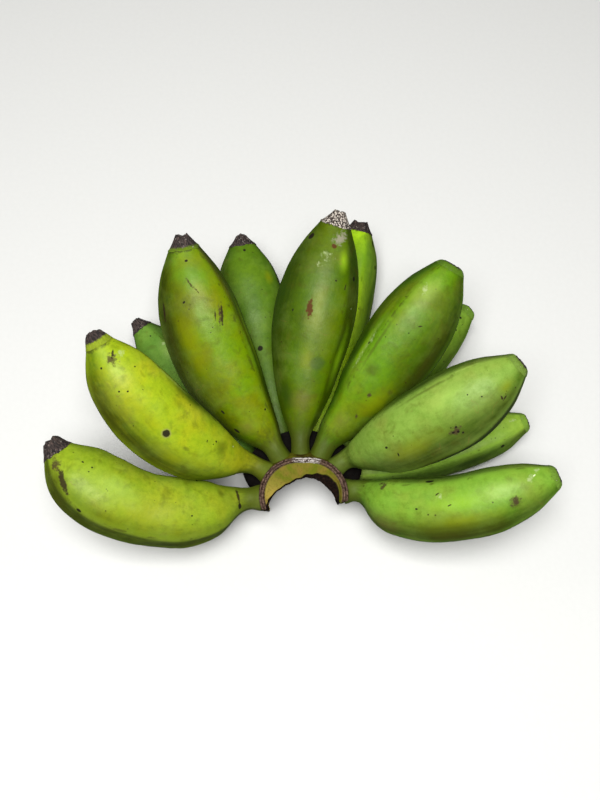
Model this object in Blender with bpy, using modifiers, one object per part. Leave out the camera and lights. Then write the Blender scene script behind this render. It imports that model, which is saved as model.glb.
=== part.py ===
"""One hand of short green bananas, lying on its lower row.

Twelve fingers grow in two rows from one arched crown that was cut from the stem. Each finger is a curve
with a ridged section, and ends in a dried flower stub. Metres, +Z up. The hand stands on Z = 0, with the
crown towards -Y and the finger tips fanned round from -X over +Y to +X.
"""

import math

import bmesh
import bpy
from mathutils import Matrix, Vector

# The crown: an arch round the axis of the stem it was cut from, whose top leans towards -Y
CROWN_RADIUS = 0.025
CROWN_LEAN = math.radians(15)
CROWN_LEVEL = 0.0313  # height of the stem axis where the upper row grows out
ROW_STEP = 0.019  # from the upper row down to the lower row, along the stem axis
SCAR_TOP = 0.0118  # top of the cut end's rim, along the stem axis
CROWN_BOTTOM = -0.0345
HOLLOW_RADIUS = 0.019
HOLLOW_SHIFT = -0.004
HOLLOW_LEAN = math.radians(23)
END_CUT_Y = -0.0035
END_CUT_TURN = math.radians(5.7)

# What all fingers share
GAP = 0.0003
BEND_SHARE = 0.17  # share of the length over which the stalk bends to its neck direction
RIDGES = 5
RIDGE_DEPTH = 0.06
SECTION_POINTS = 15
RINGS = 25

# Name, root direction round the crown, neck direction and rise, tip direction and rise (degrees),
# curl (how much of the curve comes early), length with the stub and length of the flower stub (mm)
FINGERS = (
    ("front_1", -93.0, -115.0, 16.8, -31.6, 28.1, -0.08, 133.0, 7),
    ("front_2", -57.0, -96.9, 44.4, -32.2, 40.5, 0.51, 136.0, 6),
    ("front_3", -30.4, -41.8, 18.6, -10.4, 41.4, 0.40, 142.0, 7),
    ("front_4", -2.6, 4.3, 15.4, 21.5, 37.8, -0.15, 143.0, 7),
    ("front_5", 23.7, 44.8, 25.9, 35.4, 32.5, 0.18, 133.1, 3),
    ("front_6", 49.5, 95.0, 55.3, 56.8, 28.6, 0.24, 130.1, 3),
    ("front_7", 84.2, 126.5, 24.7, 73.6, 20.4, 1.13, 124.5, 3),
    ("back_1", -60.3, -36.0, -4.9, -42.8, 23.5, -0.03, 129.5, 6),
    ("back_2", -18.7, -13.6, -5.9, -9.8, 27.0, 0.07, 148.5, 6),
    ("back_3", 13.3, 10.2, -8.8, 13.3, 26.2, 0.09, 159.5, 6),
    ("back_4", 39.3, 37.7, -7.9, 47.8, 19.8, -0.02, 136.0, 4),
    ("back_5", 65.3, 74.3, -5.2, 74.9, 20.7, -0.02, 118.7, 3),
)

# Radius of each finger (mm) at these shares of its fruit's length, from the crown to the flower stub
RADIUS_SHARES = (0, 0.07, 0.14, 0.23, 0.36, 0.56, 0.76, 0.90, 1)
RADII = {
    "front_1": (6.0, 6.5, 9.5, 15.4, 19.1, 19.6, 20.2, 16.4, 7.8),
    "front_2": (5.6, 5.5, 7.7, 12.4, 18.2, 21.5, 20.4, 15.7, 7.4),
    "front_3": (5.6, 6.4, 10.8, 15.6, 20.8, 23.7, 22.1, 16.1, 8.4),
    "front_4": (5.1, 5.5, 9.6, 14.3, 19.1, 23.4, 21.6, 15.7, 8.6),
    "front_5": (5.2, 6.6, 9.7, 12.8, 17.9, 22.3, 21.6, 16.3, 9.0),
    "front_6": (5.4, 5.8, 8.7, 12.5, 18.1, 21.3, 20.5, 15.0, 7.6),
    "front_7": (6.0, 6.4, 9.2, 14.7, 17.6, 18.4, 17.8, 13.4, 7.5),
    "back_1": (5.6, 5.6, 8.5, 12.3, 15.6, 16.5, 16.4, 13.1, 6.5),
    "back_2": (5.6, 5.6, 9.4, 14.2, 18.5, 20.6, 20.9, 16.4, 8.1),
    "back_3": (5.6, 5.6, 9.1, 12.7, 16.6, 18.0, 18.0, 15.1, 8.6),
    "back_4": (5.6, 5.6, 8.4, 12.1, 15.4, 16.2, 15.5, 11.9, 6.6),
    "back_5": (5.6, 5.6, 8.3, 12.1, 15.0, 15.6, 14.6, 11.6, 6.5),
}

# Where the middle of the whole hand's outline from above lies, seen from the stem axis
MIDDLE = (-0.0004, 0.0745)

PEEL = {
    "front_1": (0.42, 0.52, 0.05), "front_2": (0.36, 0.42, 0.05), "front_3": (0.24, 0.31, 0.03),
    "front_4": (0.17, 0.28, 0.03), "front_5": (0.20, 0.35, 0.05), "front_6": (0.24, 0.42, 0.07),
    "front_7": (0.27, 0.47, 0.07), "back": (0.20, 0.40, 0.07),
}


def smooth(t):
    t = min(max(t, 0.0), 1.0)
    return t * t * (3 - 2 * t)


def mix(a, b, t):
    return a + (b - a) * t


def material(name, colour, roughness):
    made = bpy.data.materials.new(name)
    made.use_nodes = True
    shader = made.node_tree.nodes["Principled BSDF"]
    shader.inputs["Base Color"].default_value = (*colour, 1.0)
    shader.inputs["Roughness"].default_value = roughness
    shader.inputs["Metallic"].default_value = 0.0
    return made


def link(obj, collection, parent):
    collection.objects.link(obj)
    obj.parent = parent
    return obj


def shade(mesh):
    mesh.shade_smooth()
    mesh.set_sharp_from_angle(angle=math.radians(40))


def on_crown(angle, radius, along):
    """The point at this angle round the stem axis, this far out and this far along it."""
    point = Vector((radius * math.sin(angle), radius * math.cos(angle), along))
    return Matrix.Rotation(CROWN_LEAN, 3, "X") @ point + Vector((0, 0, CROWN_LEVEL))


def finger_line(row, root, neck, neck_rise, tip, tip_rise, curl, length, steps=120):
    """Points along the middle of a finger, from inside the crown to the end of its flower stub."""
    root, neck, neck_rise, tip, tip_rise = map(math.radians, (root, neck, neck_rise, tip, tip_rise))
    start_rise = 0.5 * math.asin(math.cos(root) * math.sin(CROWN_LEAN))
    points = [on_crown(root, CROWN_RADIUS - 0.001, 0.0 if row == "front" else -ROW_STEP)]
    for step in range(steps):
        share = (step + 0.5) / steps
        bend = smooth(share / BEND_SHARE)
        sweep = max(0.0, (share - BEND_SHARE) / (1 - BEND_SHARE))
        sweep += curl * sweep * (1 - sweep)
        turn = mix(root, neck, bend) + (tip - neck) * sweep
        rise = mix(start_rise, neck_rise, bend) + (tip_rise - neck_rise) * sweep
        heading = Vector((math.sin(turn) * math.cos(rise), math.cos(turn) * math.cos(rise), math.sin(rise)))
        points.append(points[-1] + heading * (length / steps))
    return points


def at_share(points, share):
    place = share * (len(points) - 1)
    low = min(int(place), len(points) - 2)
    return points[low].lerp(points[low + 1], place - low)


def ring_share(i):
    """Share of the fruit's length at this ring: rings stand closer at the stalk and at the tip."""
    even = i / (RINGS - 1)
    return mix(even, (1 - math.cos(math.pi * even)) / 2, 0.5)


def finger_radius(share, radii):
    """Radius along the fruit: a smooth curve through the radii of the table."""
    def slope(i):
        return (radii[i + 1] - radii[i]) / (RADIUS_SHARES[i + 1] - RADIUS_SHARES[i])

    def tangent(i):
        if i in (0, len(radii) - 1):
            return slope(min(i, len(radii) - 2))
        before, after = RADIUS_SHARES[i] - RADIUS_SHARES[i - 1], RADIUS_SHARES[i + 1] - RADIUS_SHARES[i]
        return (slope(i - 1) * after + slope(i) * before) / (before + after)

    i = max(k for k in range(len(radii) - 1) if k == 0 or RADIUS_SHARES[k] < share)
    width = RADIUS_SHARES[i + 1] - RADIUS_SHARES[i]
    t = (share - RADIUS_SHARES[i]) / width
    bend = t * (1 - t) * width * ((1 - t) * tangent(i) - t * tangent(i + 1))
    return mix(radii[i], radii[i + 1], smooth(t)) + bend


def ridged_section(collection, parent):
    """The closed five-ridged outline that is swept along every finger."""
    curve = bpy.data.curves.new("finger_section", "CURVE")
    curve.dimensions = "2D"
    spline = curve.splines.new("POLY")
    spline.points.add(SECTION_POINTS - 1)
    spline.use_cyclic_u = True
    for i, point in enumerate(spline.points):
        angle = 2 * math.pi * i / SECTION_POINTS
        radius = 1 - RIDGE_DEPTH * (1 - math.cos(RIDGES * angle)) / 2
        point.co = (radius * math.cos(angle), radius * math.sin(angle), 0, 1)
    section = bpy.data.objects.new("finger_section", curve)
    section.hide_render = True
    return link(section, collection, parent)


def curve_to_mesh(obj, collection, parent):
    """A mesh object in place of the curve object, with the curve's caps welded on."""
    graph = bpy.context.evaluated_depsgraph_get()
    mesh = bpy.data.meshes.new_from_object(obj.evaluated_get(graph))
    shell = bmesh.new()
    shell.from_mesh(mesh)
    bmesh.ops.remove_doubles(shell, verts=shell.verts, dist=1e-6)
    bmesh.ops.recalc_face_normals(shell, faces=shell.faces)
    shell.to_mesh(mesh)
    shell.free()
    name = obj.name
    curve = obj.data
    bpy.data.objects.remove(obj)
    bpy.data.curves.remove(curve)
    return link(bpy.data.objects.new(name, mesh), collection, parent)


def cut(obj, cutter):
    boolean = obj.modifiers.new(cutter.name, "BOOLEAN")
    boolean.operation = "DIFFERENCE"
    boolean.solver = "EXACT"
    boolean.object = cutter


def make_finger(entry, section, root_cutter, floor_cutter, collection, parent):
    name, root, neck, neck_rise, tip, tip_rise, curl, length, stub = entry
    row = name.split("_")[0]
    length, stub = length / 1000, stub / 1000
    radii = [radius / 1000 for radius in RADII[name]]
    line = finger_line(row, root, neck, neck_rise, tip, tip_rise, curl, length)
    fruit = 1 - stub / length
    curve = bpy.data.curves.new("finger_" + name, "CURVE")
    curve.dimensions = "3D"
    curve.twist_mode = "MINIMUM"
    curve.bevel_mode = "OBJECT"
    curve.bevel_object = section
    curve.use_fill_caps = True
    spline = curve.splines.new("POLY")
    spline.points.add(RINGS - 1)
    for i, point in enumerate(spline.points):
        share = ring_share(i)
        point.co = (*at_share(line, share * fruit), 1)
        point.radius = finger_radius(share, radii)
    obj = curve_to_mesh(link(bpy.data.objects.new("finger_" + name, curve), collection, parent),
                        collection, parent)
    shade(obj.data)
    colour = PEEL.get(name, PEEL["back"])
    obj.data.materials.append(material("peel_" + name, colour, 0.42))
    cut(obj, root_cutter)
    if row == "back":
        cut(obj, floor_cutter)
    return line, fruit, radii[-1] * (1 - RIDGE_DEPTH), stub


def make_stub(name, line, fruit, radius, length, dry, collection, parent):
    """The dried rest of the flower, a turned shape that sits a hair off the fruit's end."""
    heading = (at_share(line, fruit) - at_share(line, fruit * ring_share(RINGS - 2))).normalized()
    taper = 0.40 if length > 0.005 else 0.72
    profile = ((0, length), (taper, length), (taper + 0.14, 0.72 * length), (0.93, 0.25 * length),
               (0.97, 0.08 * length), (0.90, GAP), (0, GAP))
    shape = bmesh.new()
    points = [shape.verts.new((share * radius, 0, height)) for share, height in profile]
    for first, second in zip(points, points[1:]):
        shape.edges.new((first, second))
    mesh = bpy.data.meshes.new("blossom_end_" + name)
    shape.to_mesh(mesh)
    shape.free()
    stub = link(bpy.data.objects.new("blossom_end_" + name, mesh), collection, parent)
    stub.location = at_share(line, fruit)
    stub.rotation_mode = "QUATERNION"
    stub.rotation_quaternion = heading.to_track_quat("Z", "Y")
    turned = stub.modifiers.new("turned", "SCREW")
    turned.steps = turned.render_steps = 10
    turned.use_merge_vertices = True
    turned.merge_threshold = 1e-5
    turned.use_smooth_shade = True
    mesh.materials.append(dry)


def make_crown(collection, cutters, floor_cutter, parent):
    profile = (
        (0, 0.0112), (0.014, 0.0112), (0.019, 0.0104), (0.0228, 0.0090), (0.0241, 0.0108),
        (0.0254, SCAR_TOP), (0.0266, 0.0108), (0.0266, 0.0094), (CROWN_RADIUS, 0.0082),
        (CROWN_RADIUS, -0.0120), (CROWN_RADIUS, -0.0290), (0.0240, -0.0330), (0.0220, CROWN_BOTTOM),
        (0, CROWN_BOTTOM),
    )
    shape = bmesh.new()
    points = [shape.verts.new((radius, 0, height)) for radius, height in profile]
    for first, second in zip(points, points[1:]):
        shape.edges.new((first, second))
    mesh = bpy.data.meshes.new("crown")
    shape.to_mesh(mesh)
    shape.free()
    crown = link(bpy.data.objects.new("crown", mesh), collection, parent)
    crown.location.z = CROWN_LEVEL
    crown.rotation_euler.x = CROWN_LEAN
    turned = crown.modifiers.new("turned", "SCREW")
    turned.steps = turned.render_steps = 40
    turned.use_merge_vertices = True
    turned.merge_threshold = 1e-5
    turned.use_smooth_shade = True
    mesh.materials.append(material("crown_skin", (0.20, 0.19, 0.05), 0.6))

    hollow = add_cutter("crown_hollow", cutters, parent)
    bmesh_fill(hollow, lambda shape: bmesh.ops.create_cone(
        shape, cap_ends=True, segments=40, radius1=HOLLOW_RADIUS, radius2=HOLLOW_RADIUS, depth=0.14))
    hollow.location = on_crown(0, HOLLOW_SHIFT, SCAR_TOP)
    hollow.rotation_euler.x = HOLLOW_LEAN
    cut(crown, hollow)

    ends = add_cutter("crown_ends", cutters, parent)
    bmesh_fill(ends, lambda shape: bmesh.ops.create_cube(
        shape, size=0.12, matrix=Matrix.Rotation(END_CUT_TURN, 4, "Z") @ Matrix.Translation((0, -0.06, 0))))
    ends.location = on_crown(0, END_CUT_Y, 0)
    ends.rotation_euler.x = CROWN_LEAN
    cut(crown, ends)
    cut(crown, floor_cutter)


def add_cutter(name, cutters, parent):
    cutter = link(bpy.data.objects.new(name, bpy.data.meshes.new(name)), cutters, parent)
    cutter.hide_render = True
    cutter.display_type = "WIRE"
    return cutter


def bmesh_fill(obj, fill):
    shape = bmesh.new()
    fill(shape)
    shape.to_mesh(obj.data)
    shape.free()


def main():
    for obj in list(bpy.data.objects):
        bpy.data.objects.remove(obj)
    scene = bpy.context.scene
    hand = bpy.data.collections.new("banana_hand")
    cutters = bpy.data.collections.new("cutters")
    scene.collection.children.link(hand)
    scene.collection.children.link(cutters)
    cutters.hide_render = True

    middle = bpy.data.objects.new("hand_middle", None)
    hand.objects.link(middle)
    middle.location = (-MIDDLE[0], -MIDDLE[1], 0)

    floor_cutter = add_cutter("floor_cutter", cutters, middle)
    bmesh_fill(floor_cutter, lambda shape: bmesh.ops.create_cube(
        shape, size=0.5, matrix=Matrix.Translation((0, 0.05, -0.25))))
    root_cutter = add_cutter("root_cutter", cutters, middle)
    bmesh_fill(root_cutter, lambda shape: bmesh.ops.create_cone(
        shape, cap_ends=True, segments=80, radius1=CROWN_RADIUS + GAP, radius2=CROWN_RADIUS + GAP,
        depth=0.07))
    root_cutter.location.z = CROWN_LEVEL
    root_cutter.rotation_euler.x = CROWN_LEAN

    make_crown(hand, cutters, floor_cutter, middle)
    section = ridged_section(cutters, middle)
    dry = material("dry_flower", (0.035, 0.028, 0.026), 0.85)
    for entry in FINGERS:
        line, fruit, radius, stub = make_finger(entry, section, root_cutter, floor_cutter, hand, middle)
        make_stub(entry[0], line, fruit, radius, stub, dry, hand, middle)


main()
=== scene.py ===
"""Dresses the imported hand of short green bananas: skins, cut crown, dried flower ends and stage.

Lengths are in metres and angles in degrees. Sizes that the CAD source also holds are repeated here.
"""

import math

import bmesh
import bpy
from mathutils import Matrix, Vector, noise


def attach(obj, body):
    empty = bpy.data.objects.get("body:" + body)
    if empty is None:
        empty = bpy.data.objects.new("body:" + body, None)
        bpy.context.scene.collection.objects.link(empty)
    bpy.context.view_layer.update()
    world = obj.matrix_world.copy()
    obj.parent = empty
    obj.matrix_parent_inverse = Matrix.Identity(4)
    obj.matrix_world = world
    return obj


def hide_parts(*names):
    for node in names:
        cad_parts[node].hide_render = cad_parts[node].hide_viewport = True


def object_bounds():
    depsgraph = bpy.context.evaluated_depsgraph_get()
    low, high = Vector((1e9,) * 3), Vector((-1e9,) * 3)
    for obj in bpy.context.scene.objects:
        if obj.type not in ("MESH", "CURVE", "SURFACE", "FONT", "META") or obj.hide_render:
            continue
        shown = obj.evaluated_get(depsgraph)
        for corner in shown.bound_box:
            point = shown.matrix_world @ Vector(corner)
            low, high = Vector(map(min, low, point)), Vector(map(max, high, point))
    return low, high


bl_info = {
    "name": "Hand of green bananas",
    "version": (1, 0, 0),
    "blender": (4, 5, 0),
    "location": "3D View > Sidebar > Bananas",
    "description": "Skins, cut crown, dried flower ends and stage for a hand of short green bananas",
    "category": "Object",
}

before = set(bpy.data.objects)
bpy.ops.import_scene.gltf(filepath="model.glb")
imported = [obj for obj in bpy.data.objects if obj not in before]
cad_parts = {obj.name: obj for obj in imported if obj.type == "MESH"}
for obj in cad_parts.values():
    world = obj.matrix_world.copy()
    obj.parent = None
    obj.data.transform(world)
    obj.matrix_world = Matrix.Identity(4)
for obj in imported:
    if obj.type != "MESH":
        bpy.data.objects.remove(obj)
CAD_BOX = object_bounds()

# Repeated from the CAD source: the crown
CROWN_RADIUS = 0.025
CROWN_LEAN = math.radians(15)
CROWN_LEVEL = 0.0313
ROW_STEP = 0.019
SCAR_TOP = 0.0118
CROWN_BOTTOM = -0.0345
HOLLOW_RADIUS = 0.019
HOLLOW_SHIFT = -0.004
HOLLOW_LEAN = math.radians(23)
END_CUT_Y = -0.0065  # 3 mm further round than the CAD part's
END_CUT_TURN = math.radians(5.7)
MIDDLE = Vector((-0.0004, 0.0745, 0))

# Repeated from the CAD source: share of a finger's length over which its stalk bends
BEND_SHARE = 0.17

# Repeated from the CAD source: name, root direction round the crown, neck direction and rise, tip
# direction and rise (degrees), curl, length with the stub and length of the flower stub (mm)
FINGERS = (
    ("front_1", -93.0, -115.0, 16.8, -31.6, 28.1, -0.08, 133.0, 7),
    ("front_2", -57.0, -96.9, 44.4, -32.2, 40.5, 0.51, 136.0, 6),
    ("front_3", -30.4, -41.8, 18.6, -10.4, 41.4, 0.40, 142.0, 7),
    ("front_4", -2.6, 4.3, 15.4, 21.5, 37.8, -0.15, 143.0, 7),
    ("front_5", 23.7, 44.8, 25.9, 35.4, 32.5, 0.18, 133.1, 3),
    ("front_6", 49.5, 95.0, 55.3, 56.8, 28.6, 0.24, 130.1, 3),
    ("front_7", 84.2, 126.5, 24.7, 73.6, 20.4, 1.13, 124.5, 3),
    ("back_1", -60.3, -36.0, -4.9, -42.8, 23.5, -0.03, 129.5, 6),
    ("back_2", -18.7, -13.6, -5.9, -9.8, 27.0, 0.07, 148.5, 6),
    ("back_3", 13.3, 10.2, -8.8, 13.3, 26.2, 0.09, 159.5, 6),
    ("back_4", 39.3, 37.7, -7.9, 47.8, 19.8, -0.02, 136.0, 4),
    ("back_5", 65.3, 74.3, -5.2, 74.9, 20.7, -0.02, 118.7, 3),
)

# Repeated from the CAD source: radius of each finger (mm) at these shares of its fruit's length
RADIUS_SHARES = (0, 0.07, 0.14, 0.23, 0.36, 0.56, 0.76, 0.90, 1)
RADII = {
    "front_1": (6.0, 6.5, 9.5, 15.4, 19.1, 19.6, 20.2, 16.4, 7.8),
    "front_2": (5.6, 5.5, 7.7, 12.4, 18.2, 21.5, 20.4, 15.7, 7.4),
    "front_3": (5.6, 6.4, 10.8, 15.6, 20.8, 23.7, 22.1, 16.1, 8.4),
    "front_4": (5.1, 5.5, 9.6, 14.3, 19.1, 23.4, 21.6, 15.7, 8.6),
    "front_5": (5.2, 6.6, 9.7, 12.8, 17.9, 22.3, 21.6, 16.3, 9.0),
    "front_6": (5.4, 5.8, 8.7, 12.5, 18.1, 21.3, 20.5, 15.0, 7.6),
    "front_7": (6.0, 6.4, 9.2, 14.7, 17.6, 18.4, 17.8, 13.4, 7.5),
    "back_1": (5.6, 5.6, 8.5, 12.3, 15.6, 16.5, 16.4, 13.1, 6.5),
    "back_2": (5.6, 5.6, 9.4, 14.2, 18.5, 20.6, 20.9, 16.4, 8.1),
    "back_3": (5.6, 5.6, 9.1, 12.7, 16.6, 18.0, 18.0, 15.1, 8.6),
    "back_4": (5.6, 5.6, 8.4, 12.1, 15.4, 16.2, 15.5, 11.9, 6.6),
    "back_5": (5.6, 5.6, 8.3, 12.1, 15.0, 15.6, 14.6, 11.6, 6.5),
}

# Where the ridges run round each finger, in degrees from its upper side
RIDGES = {
    "front_1": (-62, 62, 108, 152, 224, 262), "front_2": (-98, 44, 104, 150, 206),
    "front_3": (-94, 38, 106, 172, 220), "front_4": (-70, 46, 84, 126, 188, 240),
    "front_5": (-22, 88, 124, 196, 268), "front_6": (-25, 88, 126, 194, 272),
    "front_7": (-28, 90, 126, 190, 262), "back_1": (-60, 14, 88, 160, 228),
    "back_2": (-75, 56, 104, 150, 212), "back_3": (-40, 30, 104, 176, 246),
    "back_4": (-66, 6, 80, 150, 222), "back_5": (-28, 44, 116, 188, 260),
}

# Green, yellower green and olive of each finger's skin, and the side where the olive, partly painted shade,
# lies (degrees)
LOOKS = {
    "front_1": ("#80971e", "#88931e", "#485200", -100),
    "front_2": ("#8ca117", "#9ea117", "#505600", -100),
    "front_3": ("#618002", "#6a7302", "#414a00", -80),
    "front_4": ("#456100", "#506100", "#263600", -75),
    "front_5": ("#557d0b", "#63770b", "#394a00", 70),
    "front_6": ("#749338", "#7a8b38", "#3b4900", 85),
    "front_7": ("#6c942c", "#758e2c", "#3c4b00", 90),
    "back_1": ("#557c29", "#5d8129", "#385200", -90),
    "back_2": ("#476611", "#537011", "#2f4400", -90),
    "back_3": ("#9cc51a", "#b0cb1a", "#527700", 90),
    "back_4": ("#739a2f", "#80a22f", "#435d00", 90),
    "back_5": ("#82a838", "#8ba838", "#465d00", 90),
}

# Flower end of each finger: spread of its top (share of its base), how many pale crumbs, how much is
# still green, height of its horns (mm) and the side they stand on (degrees)
FLOWER_ENDS = {
    "front_1": (0.62, 0.2, 0.0, 2.6, 20), "front_2": (0.55, 0.0, 0.4, 0.6, 0),
    "front_3": (0.42, 0.15, 0.12, 1.0, 60), "front_4": (0.45, 1.0, 0.0, 1.4, 40),
    "front_5": (0.62, 0.0, 0.95, 0.2, 0), "front_6": (0.58, 0.0, 0.95, 0.2, 0),
    "front_7": (0.55, 0.0, 0.95, 0.2, 0), "back_1": (0.5, 0.2, 0.0, 0.8, 0),
    "back_2": (0.42, 0.3, 0.0, 1.0, 0), "back_3": (0.55, 0.2, 0.0, 1.2, 90),
    "back_4": (0.6, 0.1, 0.85, 0.3, 0), "back_5": (0.58, 0.1, 0.9, 0.2, 0),
}


def linear(code):
    """The linear colour of an sRGB hex value."""
    parts = [int(code[i:i + 2], 16) / 255 for i in (1, 3, 5)]
    return tuple(p / 12.92 if p <= 0.04045 else ((p + 0.055) / 1.055) ** 2.4 for p in parts)


def smooth(t):
    """From 0 to 1 with a soft start and a soft end."""
    t = min(max(t, 0.0), 1.0)
    return t * t * (3 - 2 * t)


def mix(a, b, t):
    return a + (b - a) * t


def on_crown(angle, radius, along):
    """The point at this angle round the stem axis, this far out and this far along it."""
    point = Vector((radius * math.sin(angle), radius * math.cos(angle), along))
    return Matrix.Rotation(CROWN_LEAN, 3, "X") @ point + Vector((0, 0, CROWN_LEVEL)) - MIDDLE


def finger_line(row, root, neck, neck_rise, tip, tip_rise, curl, length, steps=120):
    """Points along the middle of a finger, from inside the crown to the end of its flower stub."""
    root, neck, neck_rise, tip, tip_rise = map(math.radians, (root, neck, neck_rise, tip, tip_rise))
    start_rise = 0.5 * math.asin(math.cos(root) * math.sin(CROWN_LEAN))
    points = [on_crown(root, CROWN_RADIUS - 0.001, 0.0 if row == "front" else -ROW_STEP)]
    for step in range(steps):
        share = (step + 0.5) / steps
        bend = smooth(share / BEND_SHARE)
        sweep = max(0.0, (share - BEND_SHARE) / (1 - BEND_SHARE))
        sweep += curl * sweep * (1 - sweep)
        turn = mix(root, neck, bend) + (tip - neck) * sweep
        rise = mix(start_rise, neck_rise, bend) + (tip_rise - neck_rise) * sweep
        heading = Vector((math.sin(turn) * math.cos(rise), math.cos(turn) * math.cos(rise), math.sin(rise)))
        points.append(points[-1] + heading * (length / steps))
    return points


def finger_radius(share, radii):
    """Radius along the fruit: a smooth curve through the radii of the table."""
    def slope(i):
        return (radii[i + 1] - radii[i]) / (RADIUS_SHARES[i + 1] - RADIUS_SHARES[i])

    def tangent(i):
        if i in (0, len(radii) - 1):
            return slope(min(i, len(radii) - 2))
        before, after = RADIUS_SHARES[i] - RADIUS_SHARES[i - 1], RADIUS_SHARES[i + 1] - RADIUS_SHARES[i]
        return (slope(i - 1) * after + slope(i) * before) / (before + after)

    i = max(k for k in range(len(radii) - 1) if k == 0 or RADIUS_SHARES[k] < share)
    width = RADIUS_SHARES[i + 1] - RADIUS_SHARES[i]
    t = (share - RADIUS_SHARES[i]) / width
    bend = t * (1 - t) * width * ((1 - t) * tangent(i) - t * tangent(i + 1))
    return mix(radii[i], radii[i + 1], smooth(t)) + bend


def between(values, share):
    """The value at this share of the way through a list of them."""
    place = min(max(share, 0.0), 1.0) * (len(values) - 1)
    low = min(int(place), len(values) - 2)
    return values[low].lerp(values[low + 1], place - low)


class Finger:
    """A finger's middle line, the directions round it, and its skin."""

    STATIONS = 200
    ROOT = 0.07  # share of the fruit along which a stalk widens on to the crown
    RIM_REACH = 0.0048  # how far the middle stalks of the upper row reach on to the flattened rim
    RIDGE_GAP = 70  # degrees; faces between ridges that stand closer are shallower
    RIDGE_SOFTNESS = 0.14
    LONG_WAVE, SHORT_WAVE = 0.019, 0.0065

    def __init__(self, index, entry, look):
        self.name, *bends, length, stub = entry
        self.row = self.name.split("_")[0]
        self.length, self.stub = length / 1000, stub / 1000
        self.radii = [radius / 1000 for radius in RADII[self.name]]
        self.fruit = self.length - self.stub
        self.start = 0.2 * index  # keeps the skin pattern of each finger its own
        self.ridges = RIDGES[self.name]
        self.look = look
        line = finger_line(self.row, *bends, self.length)
        root = math.radians(bends[0])
        reach = self.RIM_REACH * max(0.0, math.cos(root)) ** 1.5 if self.row == "front" else 0.0
        self.inward = on_crown(root, -reach, 0.0) - on_crown(root, 0.0, 0.0)
        count = self.STATIONS + 1
        self.middles = [between(line, i / self.STATIONS * self.fruit / self.length) for i in range(count)]
        self.heads = [(self.middles[min(i + 1, count - 1)] - self.middles[max(i - 1, 0)]).normalized()
                      for i in range(count)]
        self.ups = [None] * count
        half = count // 2
        self.ups[half] = self.square(Vector((0, 0, 1)), half)
        for i in range(half + 1, count):
            self.ups[i] = self.square(self.ups[i - 1], i)
        for i in range(half - 1, -1, -1):
            self.ups[i] = self.square(self.ups[i + 1], i)

    def square(self, up, i):
        """The direction up, turned to stand square on the middle line at this station."""
        return (up - self.heads[i] * up.dot(self.heads[i])).normalized()

    def valley(self, angle):
        """0 on a ridge, and halfway between two ridges 1, or less where they lie close together."""
        turn = (math.degrees(angle) - self.ridges[0]) % 360
        edges = [ridge - self.ridges[0] for ridge in self.ridges] + [360]
        for low, high in zip(edges, edges[1:]):
            if turn <= high:
                depth = min(1.0, (high - low) / self.RIDGE_GAP)
                return math.sin(math.pi * (turn - low) / (high - low)) * depth
        return 0.0

    def radius(self, angle, share):
        """How far the skin lies from the middle line."""
        flare = self.look.root_flare * (1 - smooth(share / self.ROOT)) ** 2
        body = finger_radius(share, self.radii) * (1 + flare)
        body *= 1 + 0.4 * (self.look.ridge_depth - 0.04)  # keeps the outline of the CAD part
        depth = self.look.ridge_depth * (0.35 + 0.65 * smooth(share / 0.3))
        soft = self.RIDGE_SOFTNESS
        valley = (math.hypot(self.valley(angle), soft) - soft) / (math.hypot(1, soft) - soft)
        return body * (1 - depth * valley)

    def skin(self, angle, share):
        """The skin rolled out straight: the same point if the finger had no bend."""
        radius = self.radius(angle, share)
        return Vector((radius * math.cos(angle), radius * math.sin(angle), self.start + share * self.fruit))

    def outward(self, angle, share):
        """The direction from the middle line to the skin."""
        up, head = between(self.ups, share), between(self.heads, share)
        return (up * math.cos(angle) + head.cross(up) * math.sin(angle)).normalized()

    def point(self, angle, share):
        """The place on the skin at this angle and share, with the low waves of a grown fruit."""
        rolled = self.skin(angle, share)
        waves = self.look.wave_height * noise.noise(rolled / self.LONG_WAVE)
        waves += 0.3 * self.look.wave_height * noise.noise(rolled / self.SHORT_WAVE)
        body = smooth(share / 0.25)
        point = between(self.middles, share) + self.outward(angle, share) * (
            self.radius(angle, share) + waves * body)
        return point + self.inward * (1 - smooth(share / self.ROOT))


def tube(around, rings, place, floats=()):
    """A closed tube whose vertices go where place(turn, ring) puts them, within the box of the CAD part.

    place also gives each vertex its rolled-out skin position and a value for each name in floats.
    """
    shape = bmesh.new()
    bmesh.ops.create_cone(shape, cap_ends=True, segments=around, radius1=1, radius2=1, depth=rings - 1)
    uprights = [e for e in shape.edges if abs(e.verts[0].co.z - e.verts[1].co.z) > 0.5]
    bmesh.ops.subdivide_edges(shape, edges=uprights, cuts=rings - 2, use_grid_fill=True)
    skin = shape.verts.layers.float_vector.new("skin")
    layers = [shape.verts.layers.float.new(name) for name in floats]
    for vert in shape.verts:
        turn = round(math.atan2(vert.co.y, vert.co.x) / (2 * math.pi) * around) % around
        ring = round(vert.co.z + (rings - 1) / 2)
        point, vert[skin], *values = place(turn, ring)
        vert.co = [min(max(at, low), high) for at, low, high in zip(point, *CAD_BOX)]
        for layer, value in zip(layers, values):
            vert[layer] = value
    bmesh.ops.recalc_face_normals(shape, faces=shape.faces)
    return shape


def piece(name, shape, material, node, crease=None):
    """An object on the hand's body made from the bmesh, in place of the CAD node."""
    mesh = bpy.data.meshes.new(name)
    shape.to_mesh(mesh)
    shape.free()
    mesh.shade_smooth()
    if crease:
        mesh.set_sharp_from_angle(angle=math.radians(crease))
    mesh.materials.append(material)
    made = bpy.data.objects.new(name, mesh)
    bpy.context.scene.collection.objects.link(made)
    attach(made, "root")
    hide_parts(node)


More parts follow.
